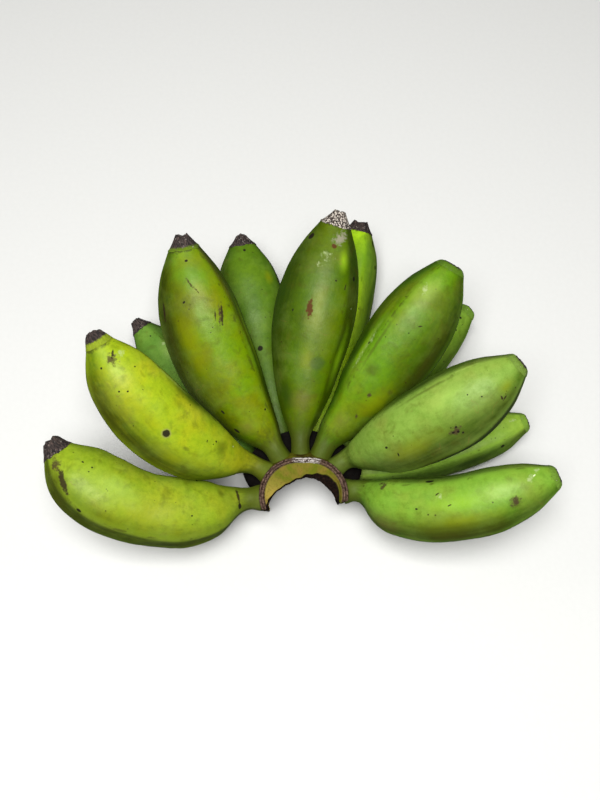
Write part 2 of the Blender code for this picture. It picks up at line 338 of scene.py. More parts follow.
def add(tree, kind, sockets=None, **settings):
    """Adds a node, sets it up and fills its sockets.

    A socket takes a value, a hex colour, another node's output, or a node, for the first output it shows.
    """
    node = tree.nodes.new("ShaderNode" + kind)
    for name, value in settings.items():
        setattr(node, name, value)
    for key, value in (sockets or {}).items():
        if isinstance(value, bpy.types.Node):
            value = next(output for output in value.outputs if output.enabled)
        if isinstance(value, bpy.types.NodeSocket):
            tree.links.new(value, node.inputs[key])
        else:
            node.inputs[key].default_value = (*linear(value), 1.0) if isinstance(value, str) else value
    return node


def new_material(name):
    """A material, its nodes and its main shader."""
    made = bpy.data.materials.new(name)
    made.use_nodes = True
    return made, made.node_tree, made.node_tree.nodes["Principled BSDF"]


# How a coat of colour comes in, and whether it lies over what is below or darkens it
EVEN, SOFT = ("LINEAR", "MIX"), ("SMOOTHSTEP", "MIX")
EVEN_SHADE, SOFT_SHADE = ("LINEAR", "MULTIPLY"), ("SMOOTHSTEP", "MULTIPLY")


def paint(tree, colour, coats):
    """Lays coats over a colour. Gives the colour that results, and the cover of each coat by its name.

    A coat is the pattern that it follows, the values at which it starts and is full, how much it covers
    there, its colour, and how it comes in.
    """
    covers = {}
    for name, (pattern, start, full, most, shade, (ramp, blend)) in coats.items():
        covers[name] = add(tree, "MapRange", {"Value": pattern, "From Min": start, "From Max": full,
                                              "To Max": most}, interpolation_type=ramp)
        colour = add(tree, "Mix", {0: covers[name], 6: colour, 7: shade}, data_type="RGBA", blend_type=blend)
    return colour, covers


# Marks on a skin: colour, how ragged the edge is, how strongly it covers and how soft the edge is. The edge
# is measured in shares of the mark's size.
# Shade marks are painted shade; a few pale, frost, fresh and moss marks paint light or shade too, as noted with
# the marks
MARK_KINDS = {
    "spot": ("#150d07", 0.25, 0.95, 0.3), "rim": ("#858348", 0.2, 0.6, 0.3),
    "streak": ("#25160a", 0.8, 0.9, 0.35), "scar": ("#38251a", 1.3, 0.85, 0.6),
    "burn": ("#4a220c", 0.9, 0.9, 0.3), "speck": ("#d2dab0", 0.4, 0.8, 0.4),
    "bruise": ("#3d4408", 0.5, 0.55, 0.8), "frost": ("#aab684", 1.8, 0.5, 0.9),
    "crust": ("#87826f", 1.1, 0.85, 0.6), "olive": ("#303204", 0.6, 0.75, 1.0),
    "warm": ("#7f8604", 0.6, 0.42, 1.0), "fresh": ("#78a010", 0.5, 0.75, 0.9),
    "shade": ("#243a06", 0.4, 0.8, 1.0), "blush": ("#62502a", 0.6, 0.35, 1.0),
    "pale": ("#9cb852", 0.8, 0.45, 1.0), "grey": ("#35491a", 0.4, 0.6, 0.5),
    "lime": ("#90b814", 0.4, 0.55, 0.9), "moss": ("#507a1a", 0.5, 0.6, 1.0),
}

# Marks of each finger, from the lowest layer to the highest: kind, degrees from its upper side, share
# along, width and length (mm), and the slant of those that have one (degrees)
MARKS = {
    "front_1": (
        # The pale mark on the upper face is a painted highlight
        ("warm", -20, 0.58, 20, 70), ("pale", -2, 0.72, 22, 60), ("olive", -92, 0.84, 30, 70),
        ("shade", -104, 0.62, 18, 110), ("bruise", -66, 0.9, 16, 34), ("scar", -44, 0.96, 8, 12),
        ("streak", -48, 0.893, 4.6, 22, -23), ("spot", -63, 0.779, 2.4, 3), ("spot", 5, 0.894, 1.2, 1.8),
        ("spot", 7, 0.846, 1.1, 1.4), ("spot", -3, 0.845, 0.9, 1.0), ("spot", 62, 0.5, 2.0, 1.4),
        ("spot", 55, 0.3, 2.6, 1.5), ("streak", 8, 0.112, 2.6, 12, 86), ("spot", -36, 0.115, 4, 3.5),
        ("bruise", 20, 0.2, 9, 7), ("spot", -20, 0.36, 1.1, 1.3),
    ),
    "front_2": (
        ("warm", -30, 0.7, 20, 44), ("warm", -52, 0.5, 17, 40), ("warm", -40, 0.4, 13, 24),
        ("olive", -86, 0.78, 18, 60), ("olive", -74, 0.6, 12, 40), ("shade", 64, 0.64, 26, 110),
        ("shade", 50, 0.55, 26, 80), ("shade", 42, 0.56, 12, 60), ("pale", 42, 0.72, 3.6, 50),
        ("bruise", 6, 0.34, 12, 14), ("frost", 8, 0.94, 6, 11, -60), ("scar", -17, 0.936, 8.9, 10, -40),
        ("streak", -6, 0.955, 1.6, 8, -50), ("spot", -50, 0.929, 1.4, 1.3), ("spot", 9, 0.868, 1.1, 1.0),
        ("spot", -40, 0.828, 1.3, 1.1), ("spot", -28, 0.811, 1.4, 1.1), ("rim", -28, 0.591, 6.4, 6.4),
        ("spot", -28, 0.591, 4.9, 4.9), ("spot", 9, 0.381, 1.3, 1.8), ("bruise", -28, 0.49, 4, 7),
        ("speck", 21, 0.27, 1.0, 1.0), ("bruise", -58, 0.44, 5, 6), ("spot", 2, 0.39, 0.9, 0.9),
    ),
    "front_3": (
        ("warm", -34, 0.62, 22, 70), ("olive", -66, 0.66, 16, 70), ("fresh", 47, 0.5, 8.8, 80),
        # The moss mark at the tip is painted shade
        ("lime", 72, 0.55, 14, 90), ("moss", 0, 0.9, 34, 34), ("blush", -28, 0.2, 20, 16),
        ("warm", 0, 0.84, 12, 24), ("scar", 18, 0.7, 2.6, 19, -16), ("streak", 21, 0.7, 2.0, 20, -16),
        ("streak", 12, 0.71, 1.2, 10, -16), ("streak", -71, 0.77, 2.4, 16),
        ("scar", -12, 0.865, 2.2, 13, 25), ("scar", -4, 0.835, 1.4, 10, 28),
        ("spot", -29, 0.795, 2.2, 1.4, 30), ("spot", -47, 0.31, 1.6, 3.2), ("spot", -58, 0.215, 2.2, 4.5),
        ("spot", 30, 0.215, 1.5, 1.7), ("scar", 56, 0.8, 1.6, 9, 8), ("scar", 60, 0.71, 1.6, 10, -8),
        ("spot", -10, 0.955, 2.2, 1.6),
    ),
    "front_4": (
        ("shade", -62, 0.62, 26, 110), ("shade", -40, 0.24, 14, 34), ("warm", 8, 0.62, 16, 60),
        ("lime", 36, 0.86, 9, 22), ("fresh", 64, 0.42, 12, 60), ("blush", 6, 0.22, 20, 18),
        ("warm", 4, 0.4, 16, 30), ("grey", 22, 0.386, 11, 12), ("burn", -4, 0.62, 5.4, 15, 8),
        ("spot", -54, 0.923, 4.4, 5), ("frost", 4, 0.862, 8.9, 12, 50), ("frost", -6, 0.82, 7, 5),
        ("crust", 26, 0.948, 8.9, 17, -42), ("burn", 13, 0.908, 5, 4), ("spot", 66, 0.79, 3, 3.5),
        ("speck", 66, 0.656, 0.9, 0.9), ("spot", 27, 0.764, 1.3, 1.3), ("streak", 43, 0.746, 1.2, 6.5, -8),
        ("spot", -30, 0.6, 1.0, 2.0),
    ),
    "front_5": (
        ("shade", -66, 0.5, 16, 100), ("fresh", -40, 0.5, 10, 100), ("olive", 64, 0.62, 16, 80),
        ("pale", 0, 0.87, 24, 44), ("frost", -8, 0.88, 7, 9, 30), ("pale", -34, 0.54, 7, 70),
        ("bruise", -17, 0.58, 3, 60), ("warm", 40, 0.36, 20, 50), ("blush", 6, 0.2, 18, 20),
        ("frost", -31, 0.58, 6, 16), ("frost", -34, 0.46, 5, 18), ("bruise", -3, 0.47, 14, 14),
        ("scar", 20, 0.373, 4.6, 5), ("bruise", 47, 0.434, 5, 7), ("spot", -31, 0.556, 1.6, 2.0),
        ("streak", 21, 0.74, 1.0, 3.6, -50), ("spot", 12, 0.69, 0.9, 0.9), ("scar", 30, 0.26, 3, 5, 30),
    ),
    "front_6": (
        ("shade", -50, 0.6, 26, 110), ("pale", -26, 0.84, 3, 34), ("bruise", -20, 0.68, 3, 60),
        ("pale", 2, 0.72, 14, 36), ("olive", 90, 0.56, 18, 90), ("warm", 50, 0.93, 11, 18),
        ("warm", 46, 0.5, 20, 60), ("scar", 54, 0.697, 8.9, 9), ("spot", 49, 0.705, 1.4, 1.5),
        ("spot", 57, 0.701, 1.7, 1.6), ("spot", 54, 0.684, 1.2, 1.8), ("spot", 62, 0.712, 1.3, 1.2),
        ("spot", 46, 0.688, 0.9, 0.9), ("streak", 65, 0.9, 1.3, 5, 10), ("streak", 60, 0.893, 1.2, 3.4, 80),
        ("spot", 28, 0.416, 1.5, 2.0), ("spot", 47, 0.446, 1.0, 3, 70), ("spot", 17, 0.805, 0.9, 0.9),
        ("spot", 33, 0.842, 1.0, 1.0), ("bruise", 70, 0.66, 6, 8),
    ),
    "front_7": (
        ("fresh", 12, 0.62, 16, 60), ("pale", 6, 0.8, 16, 40), ("warm", 44, 0.6, 16, 60),
        ("bruise", 62, 0.55, 14, 76), ("shade", -66, 0.5, 12, 90), ("blush", 60, 0.27, 24, 34),
        ("olive", 78, 0.6, 16, 70), ("scar", -18, 0.233, 8, 7), ("scar", -26, 0.215, 5, 7),
        ("spot", -37, 0.465, 4.4, 6.5), ("frost", -3, 0.517, 5, 6), ("streak", -8, 0.508, 1.2, 4, 35),
        ("spot", 17, 0.415, 1.3, 1.8), ("streak", 14, 0.554, 1.0, 3, 20), ("spot", -58, 0.86, 1.4, 1.2),
        # The frost marks near the tip are painted highlights
        ("bruise", 39, 0.819, 10, 11), ("scar", 39, 0.819, 8.9, 9.5), ("frost", 3, 0.905, 7, 9, 30),
        ("frost", -19, 0.95, 3, 7, 20), ("speck", -4, 0.93, 0.9, 2.0, 30),
    ),
    "back_1": (
        ("pale", 6, 0.8, 12, 30), ("frost", 10, 0.853, 4, 6, 40), ("spot", -2, 0.93, 1.2, 1.2),
        ("shade", -70, 0.7, 16, 60),
    ),
    "back_2": (
        ("warm", 39, 0.818, 9, 16), ("spot", -5, 0.479, 4, 4.4), ("spot", 2, 0.965, 2.2, 2),
        ("streak", 64, 0.89, 1.4, 7, -20), ("shade", -50, 0.6, 12, 60),
    ),
    "back_3": (
        # The fresh mark is painted light in the shade of front_4 and front_5
        ("spot", 82, 0.86, 2.8, 3.4), ("spot", 80, 0.955, 3, 5), ("fresh", 56, 0.52, 18, 70),
        ("moss", 12, 0.84, 44, 70), ("moss", 40, 0.9, 24, 50),
    ),
    "back_4": (
        ("spot", 29, 0.899, 1.3, 1.3), ("spot", 12, 0.96, 2, 1.6), ("fresh", 40, 0.7, 8, 40),
    ),
    "back_5": (
        ("fresh", 20, 0.8, 12, 40), ("frost", -5, 0.955, 3, 8), ("spot", 66, 0.862, 3.4, 3.2),
        ("shade", 80, 0.7, 16, 60),
    ),
}
FINE_MARK = 9  # mm; narrower marks have fine edges and are rough to the touch


def peel(finger, look):
    """Green banana peel: a waxy living skin, so a soft satin sheen over blotched green and fine fibres."""
    green, yellow, olive, olive_side = LOOKS[finger.name]
    made, tree, shader = new_material("green_banana_peel_" + finger.name)
    skin = add(tree, "Attribute", attribute_name="skin").outputs["Vector"]
    along = add(tree, "Attribute", attribute_name="along").outputs["Fac"]
    ridge = add(tree, "Attribute", attribute_name="ridge").outputs["Fac"]
    drawn = add(tree, "VectorMath", {0: skin, 1: (1, 1, 0.06)}, operation="MULTIPLY")

    # Patterns in the skin: where they lie, size, detail, roughness and distortion
    blotch, fibre, mottle, rub, haze, path, fray, grain = (
        add(tree, "TexNoise", {"Vector": place, "Scale": 1 / size, "Detail": detail, "Roughness": rough,
                               "Distortion": distortion}).outputs["Fac"]
        for place, size, detail, rough, distortion in (
            (skin, 0.025, 3.0, 0.55, 0.0), (drawn, 0.0016, 3.0, 0.5, 0.0), (skin, 0.0035, 5.0, 0.75, 0.0),
            (skin, 0.007, 5.0, 0.65, 0.4), (skin, 0.018, 5.0, 0.65, 0.0), (skin, 0.014, 1.0, 0.5, 0.6),
            (skin, 0.0022, 5.0, 0.7, 0.0), (skin, 0.0006, 2.0, 0.5, 0.0),
        ))

    # How far each place lies towards the olive side, partly painted shade, and how far it faces up
    side = math.radians(olive_side)
    olive_and_shade_side = add(tree, "VectorMath", {0: skin, 1: (math.cos(side), math.sin(side), 0)},
                 operation="DOT_PRODUCT")
    olive_and_shade_side = add(tree, "Math", {0: blotch, 1: 0.02, 2: olive_and_shade_side}, operation="MULTIPLY_ADD")
    # Painted shade: the sides and underside are darker the further they turn from the top
    facing_for_painted_shade = add(tree, "VectorMath", {0: skin, 1: (1, 1, 0)}, operation="MULTIPLY")
    facing_for_painted_shade = add(tree, "VectorMath", {0: facing_for_painted_shade}, operation="NORMALIZE")
    facing_for_painted_shade = add(tree, "VectorMath", {0: facing_for_painted_shade, 1: (1, 0, 0)}, operation="DOT_PRODUCT")
    facing_for_painted_shade = add(tree, "Math", {0: blotch, 1: 0.5, 2: facing_for_painted_shade}, operation="MULTIPLY_ADD")
    # The painted shade deepens along the stalk towards the crown
    thin = add(tree, "MapRange", {"Value": along, "From Min": 0.20, "From Max": 0.06, "To Max": 0.3})
    facing_for_painted_shade = add(tree, "Math", {0: facing_for_painted_shade, 1: thin}, operation="SUBTRACT")

    worn = add(tree, "Math", {0: rub, 1: 1.6, 2: ridge}, operation="MULTIPLY_ADD")
    stalk = add(tree, "Math", {0: fibre, 1: -0.12, 2: along}, operation="MULTIPLY_ADD")
    end = add(tree, "Math", {0: fray, 1: 0.05, 2: along}, operation="MULTIPLY_ADD")

    # Freckles up to 0.5 mm in radius, in some of the cells of a pattern
    cells = add(tree, "TexVoronoi", {"Vector": skin, "Scale": 1 / look.freckle_spacing})
    size = add(tree, "SeparateColor", {0: cells.outputs["Color"]})
    size = add(tree, "MapRange", {"Value": size, "From Min": 0.4, "To Max": 0.14})
    freckle = add(tree, "Math", {0: size, 1: cells.outputs["Distance"]}, operation="SUBTRACT")

    # Rubbed hairlines, in a few patches
    off = add(tree, "Math", {0: path, 1: 0.5}, operation="SUBTRACT")
    off = add(tree, "Math", {0: off}, operation="ABSOLUTE")
    hair = add(tree, "MapRange", {"Value": off, "From Min": 0.006, "From Max": 0.001})
    where = add(tree, "MapRange", {"Value": haze, "From Min": 0.58, "From Max": 0.64, "To Max": 0.45})
    hair = add(tree, "Math", {0: hair, 1: where}, operation="MULTIPLY")

    coats = {
        "yellower blotches": (blotch, 0.40, 0.66, 1.0, yellow, SOFT),
        # Olive on one side: an olive tone that is partly painted shade
        "olive side, partly painted shade": (olive_and_shade_side, 0.014, 0.030, 0.8, olive, SOFT),
        # Painted shade on the sides and underside
        "painted shade on the sides and underside": (facing_for_painted_shade, 1.2, 0.5, 0.9, (0.28, 0.36, 0.15, 1), SOFT_SHADE),
        "fibres under the wax": (fibre, 0.35, 0.75, 0.18, yellow, EVEN),
        "fine mottling": (mottle, 0.40, 0.70, 0.6, (0.52, 0.62, 0.30, 1), EVEN_SHADE),
        "old brownish rubs": (rub, 0.53, 0.70, 0.35, "#454206", EVEN),
        # Lighter ridges: a painted highlight
        "lighter ridges, a painted highlight": (ridge, 0.0, 1.0, 0.45, green, EVEN),
        "ridges rubbed on their neighbours": (worn, 1.75, 1.95, 0.55, "#34320a", EVEN),
        "browner stalk": (stalk, 0.13, -0.02, 0.8, "#383e08", SOFT),
        "haze of wax": (haze, 0.46, 0.78, look.wax_haze, "#8fa650", EVEN),
        "freckles": (freckle, 0.0, 0.03, 0.85, "#2a2208", EVEN),
        "rubbed hairlines": (hair, 0.0, 1.0, 1.0, "#6b5426", EVEN),
        "dried end": (end, 1.01, 1.025, 0.9 - 0.8 * FLOWER_ENDS[finger.name][2], "#2b2213", SOFT),
    }
    for mark in MARKS[finger.name]:
        kind, angle, share, wide, tall, slant = (*mark, 0)[:6]  # straight where it gives no slant
        shade, ragged, most, soft = MARK_KINDS[kind]
        away = add(tree, "Mapping", {"Vector": skin, "Location": finger.skin(math.radians(angle), share),
                                     "Rotation": (math.radians(slant), 0, math.radians(angle)),
                                     "Scale": (max(0.008, wide / 1500), wide / 2000, tall / 2000)},
                   vector_type="TEXTURE")
        away = add(tree, "VectorMath", {0: away}, operation="LENGTH")
        away = add(tree, "Math", {0: fray if wide < FINE_MARK else haze, 1: 2 * ragged, 2: away},
                   operation="MULTIPLY_ADD")
        edge = 1 + 0.8 * ragged
        coats[mark] = (away, edge, edge - soft, most, shade, SOFT)
    colour, covers = paint(tree, green, coats)

    rough = add(tree, "MapRange", {"Value": mottle, "From Min": 0.3, "From Max": 0.8, "To Min": 0.36,
                                   "To Max": 0.52})
    rough = add(tree, "Math", {0: covers["browner stalk"], 1: 0.25, 2: rough}, operation="MULTIPLY_ADD")
    for mark in MARKS[finger.name]:
        if mark[3] < FINE_MARK:
            rough = add(tree, "Mix", {0: covers[mark], 2: rough, 3: 0.75})

    height = mottle
    for pattern, strength in ((grain, 0.10), (fibre, 0.15), (covers["freckles"], 0.15)):
        height = add(tree, "Math", {0: pattern, 1: strength, 2: height}, operation="MULTIPLY_ADD")
    bump = add(tree, "Bump", {"Height": height, "Strength": 0.5, "Distance": 0.0003})
    tree.links.new(bump.outputs[0], shader.inputs["Normal"])
    tree.links.new(colour.outputs[2], shader.inputs["Base Color"])
    tree.links.new(rough.outputs[0], shader.inputs["Roughness"])
    shader.inputs["IOR"].default_value = 1.45
    shader.inputs["Specular IOR Level"].default_value = 0.17
    return made


def dry_flower(finger):
    """Dried flower base: dead papery tissue, charred dark and fibrous, with pale crumbs caught on it."""
    leafy, _, olive, _ = LOOKS[finger.name]
    _, frost, green, _, _ = FLOWER_ENDS[finger.name]
    made, tree, shader = new_material("dried_flower_" + finger.name)
    skin = add(tree, "Attribute", attribute_name="skin").outputs["Vector"]
    rise = add(tree, "Attribute", attribute_name="rise").outputs["Fac"]
    drawn = add(tree, "VectorMath", {0: skin, 1: (1, 1, 0.3)}, operation="MULTIPLY")
    fibre = add(tree, "TexNoise", {"Vector": drawn, "Scale": 1 / 0.0009, "Detail": 4.0})
    crumb = add(tree, "TexNoise", {"Vector": skin, "Scale": 1 / 0.0012, "Detail": 3.0, "Roughness": 0.7})
    uneven = add(tree, "Math", {0: crumb, 1: 0.12, 2: rise}, operation="MULTIPLY_ADD")
    peel_end = add(tree, "Mix", {0: crumb, 6: leafy, 7: olive}, data_type="RGBA")
    edge = 0.25 + 0.37 * green
    colour, _ = paint(tree, "#191412", {
        "paler fibres": (fibre, 0.42, 0.7, 1.0, "#4c3e38", EVEN),
        "peel that still lives": (uneven, edge + 0.09, edge + 0.04, min(1.0, 10 * green), peel_end, EVEN),
        "pale crumbs": (crumb, 0.66 - 0.16 * frost, 0.72 - 0.14 * frost, 0.5 + 0.45 * frost, "#c3b9ac", EVEN),
    })
    bump = add(tree, "Bump", {"Height": fibre, "Strength": 0.8, "Distance": 0.0005})
    tree.links.new(bump.outputs[0], shader.inputs["Normal"])
    tree.links.new(colour.outputs[2], shader.inputs["Base Color"])
    shader.inputs["Roughness"].default_value = 0.82
    shader.inputs["Specular IOR Level"].default_value = 0.3
    return made


# The tissues of the crown, each with an attribute on its skin: corky leaf scar, torn fibres, cut flesh, and
# the creased seam above the stalks
ZONES = ("scar", "torn", "band", "seam")


def crown_tissue():
    """Cut crown: green skin outside, a corky purple-brown leaf scar, ochre flesh and a torn dark edge."""
    made, tree, shader = new_material("banana_crown_tissue")
    skin = add(tree, "Attribute", attribute_name="skin").outputs["Vector"]
    scar, torn, band, seam = (add(tree, "Attribute", attribute_name=zone).outputs["Fac"] for zone in ZONES)
    fine = add(tree, "TexNoise", {"Vector": skin, "Scale": 1 / 0.0014, "Detail": 4.0, "Roughness": 0.6})
    broad = add(tree, "TexNoise", {"Vector": skin, "Scale": 1 / 0.008, "Detail": 3.0})
    place = add(tree, "SeparateXYZ", {0: skin})
    creased, _ = paint(tree, "#2a2206", {"blotches": (broad, 0.38, 0.64, 1.0, "#4a4a0c", EVEN)})
    flesh, _ = paint(tree, "#565c10", {
        "blotches": (broad, 0.38, 0.64, 1.0, "#6c5e22", EVEN),
        "fresher left end": (place, -0.022, -0.044, 1.0, "#93803a", EVEN),
        "specks": (fine, 0.5, 0.75, 0.6, "#483c12", EVEN),
    })
    cork, _ = paint(tree, "#2c1c16", {"grains": (fine, 0.38, 0.66, 1.0, "#6f594c", EVEN)})
    fibres, _ = paint(tree, "#0b0604", {"fibres": (fine, 0.45, 0.75, 1.0, "#24150d", EVEN)})

    # Dried latex has left a pale crust on the scar, 5 mm to the left of its middle and 10 mm to the right
    off = add(tree, "Math", {0: place, 1: 0.0025}, operation="SUBTRACT")
    off = add(tree, "Math", {0: off}, operation="ABSOLUTE")
    crust = add(tree, "MapRange", {"Value": off, "From Min": 0.0105, "From Max": 0.0075})
    grains = add(tree, "MapRange", {"Value": fine, "From Min": 0.44, "From Max": 0.52, "To Max": 0.9})
    crust = add(tree, "Math", {0: crust, 1: grains}, operation="MULTIPLY")
    crust = add(tree, "Math", {0: crust, 1: scar}, operation="MULTIPLY")

    # Painted shade: the tissue that joins the stalks between the rows is near black, as if hardly any light
    # came to it
    painted_shade_web = add(tree, "MapRange", {"Value": place.outputs[1], "From Min": 0.0254, "From Max": 0.0262,
                                 "To Max": 0.9})
    painted_shade_web = add(tree, "Math", {0: painted_shade_web, 1: torn}, operation="MULTIPLY")
    colour, _ = paint(tree, "#4c5a10", {
        "blotches": (broad, 0.38, 0.64, 1.0, "#5c6418", EVEN),
        "seam": (seam, 0.0, 1.0, 1.0, creased, EVEN),
        "cut flesh": (band, 0.0, 1.0, 1.0, flesh, EVEN),
        "leaf scar": (scar, 0.0, 1.0, 1.0, cork, EVEN),
        "latex": (crust, 0.0, 1.0, 1.0, "#b9b2ae", EVEN),
        "torn edge": (torn, 0.0, 1.0, 1.0, fibres, EVEN),
        # Painted shade between the rows
        "painted shade between the rows": (painted_shade_web, 0.0, 1.0, 1.0, "#030201", EVEN),
    })
    bump = add(tree, "Bump", {"Height": fine, "Strength": 0.6, "Distance": 0.0004})
    tree.links.new(bump.outputs[0], shader.inputs["Normal"])
    tree.links.new(colour.outputs[2], shader.inputs["Base Color"])
    shader.inputs["Roughness"].default_value = 0.7
    shader.inputs["Specular IOR Level"].default_value = 0.05
    return made


def pale_paper():
    """Seamless studio paper: matt and near white, with a trace of tooth."""
    made, tree, shader = new_material("studio_paper")
    place = add(tree, "TexCoord").outputs["Object"]
    tooth = add(tree, "TexNoise", {"Vector": place, "Scale": 1 / 0.003})
    colour = add(tree, "Mix", {0: tooth, 6: "#c8c8c5", 7: "#ccccc9"}, data_type="RGBA")
    tree.links.new(colour.outputs[2], shader.inputs["Base Color"])
    shader.inputs["Roughness"].default_value = 0.9
    shader.inputs["Specular IOR Level"].default_value = 0.1
    return made


def make_fingers(look):
    """The skins of the twelve fingers."""
    for index, entry in enumerate(FINGERS):
        finger = Finger(index, entry, look)
        around, rings = look.skin_around, look.skin_rings

        def place(turn, ring):
            angle = 2 * math.pi * turn / around
            even = ring / (rings - 1)
            share = mix(even, (1 - math.cos(math.pi * even)) / 2, 0.5)
            ridge = 1 - smooth(finger.valley(angle) / 0.4)
            return finger.point(angle, share), finger.skin(angle, share), share, ridge

        piece("skin_" + finger.name, tube(around, rings, place, ("along", "ridge")), peel(finger, look),
              "finger_" + finger.name)


def make_flower_ends(look):
    """The dried rest of the flower on each finger: a ragged cone, or a thin rim on the blunt ends."""
    around, rings = 72, 48
    # Shares of the rings at which the skirt over the skin, the cone, its lip and the cup's wall end
    skirt_end, cone_end, lip_end, wall_end = 0.25, 0.62, 0.72, 0.90
    lap = 0.0003  # how thick the dead tissue lies on the skin
    for index, entry in enumerate(FINGERS):
        finger = Finger(index, entry, bpy.context.scene.banana_skin)
        top, _, green, horn, horn_side = FLOWER_ENDS[finger.name]
        cup = min(0.0022, 0.45 * finger.stub)  # how deep the hollow in its top is
        end, head, up = finger.middles[-1], finger.heads[-1], finger.ups[-1]
        side = head.cross(up)

        def place(turn, ring):
            angle = 2 * math.pi * turn / around
            share = ring / (rings - 1)
            round_it = Vector((math.cos(angle), math.sin(angle), 0))
            jag = noise.noise(round_it * 2.4 + Vector((0, 0, 7.0 * index)))
            fine = noise.noise(round_it * 7.5 + Vector((0, 0, 3.0 * index)))
            skirt = 0.0007 + look.ragged_skirt * (0.5 + 0.8 * jag + 0.5 * fine)
            skirt *= (1 - min(0.8, 2 * green)) / finger.fruit
            base = finger.radius(angle, 1.0)
            lobes = math.cos(2 * (angle - math.radians(horn_side)))
            tall = finger.stub * (1.02 + 0.10 * jag + 0.08 * fine) - 0.001 * horn * (0.5 - 0.5 * lobes)
            if share < skirt_end:
                out = share / skirt_end
                back = skirt * (1 - out)
                lift = mix(-lap, lap * (1 - green), smooth(out / 0.35))
                point = finger.point(angle, 1 - back) + finger.outward(angle, 1 - back) * lift
                height = -back * finger.fruit
            else:
                if share < cone_end:
                    step = (share - skirt_end) / (cone_end - skirt_end)
                    radius = mix(base + lap * (1 - green), top * base, step ** mix(0.8, 1.15, green))
                    height = tall * mix(step, math.sin(math.pi / 2 * step), green)
                elif share < lip_end:
                    step = (share - cone_end) / (lip_end - cone_end)
                    radius = base * top * mix(1.0, 0.78, step)
                    height = tall + 0.0003 * math.sin(math.pi * step)
                elif share < wall_end:
                    step = (share - lip_end) / (wall_end - lip_end)
                    radius = base * top * mix(0.78, 0.34, step)
                    height = tall - cup * smooth(step)
                else:
                    step = (share - wall_end) / (1 - wall_end)
                    radius = base * top * mix(0.34, 0.05, step)
                    height = tall - cup * (1 - 0.6 * smooth(step))
                lumps = noise.noise(Vector((radius * math.cos(angle), radius * math.sin(angle),
                                            height + finger.start)) / 0.0016)
                radius += 0.00025 * lumps * min(1.0, 3 * (share - skirt_end)) + 0.0002 * fine
                outward = up * math.cos(angle) + side * math.sin(angle)
                point = end + head * height + outward * max(radius, 1e-4)
            spread = base * (1.2 - 0.6 * share)
            rolled = Vector((spread * math.cos(angle), spread * math.sin(angle), height + finger.start))
            return point, rolled, share

        piece("flower_end_" + finger.name, tube(around, rings, place, ("rise",)), dry_flower(finger),
              "blossom_end_" + finger.name)


def hollow_reach(angle, height):
    """How far the hollow's wall lies from the stem axis, at this angle round it and this height."""
    tilt = HOLLOW_LEAN - CROWN_LEAN
    middle = HOLLOW_SHIFT - (height - SCAR_TOP) * math.tan(tilt)
    half = middle * math.cos(angle)
    return half + math.sqrt(max(half * half - middle * middle + HOLLOW_RADIUS ** 2, 0.0))


# Radius of the torn edge of the cut face (mm) at these directions round the crown
EDGE_ANGLES = (-109, -103, -93, -75, -55, -30, 0, 26, 59, 80, 97, 101)
EDGE_RADII = (21.6, 20.2, 16.6, 12.4, 9.6, 8.7, 9.1, 10.5, 12.7, 15.3, 18.8, 20.4)


def edge_radius(angle):
    """Radius of the torn edge at this direction."""
    degrees = min(max(math.degrees(angle), EDGE_ANGLES[0]), EDGE_ANGLES[-1] - 0.001)
    i = max(k for k in range(len(EDGE_ANGLES) - 1) if EDGE_ANGLES[k] <= degrees)
    share = (degrees - EDGE_ANGLES[i]) / (EDGE_ANGLES[i + 1] - EDGE_ANGLES[i])
    return mix(EDGE_RADII[i], EDGE_RADII[i + 1], share) / 1000


def rim_share(angle):
    """Share of the CAD part's radius that the cut rim keeps: the arch is flattened at its middle."""
    return mix(0.78, 0.92 if angle < 0 else 0.97, abs(math.sin(angle)) ** 1.3)


def end_angle(radius, side):
    """The angle at which the end cut crosses this radius; side is -1 on the left and 1 on the right."""
    return side * math.acos(END_CUT_Y * math.cos(END_CUT_TURN) / radius) - END_CUT_TURN


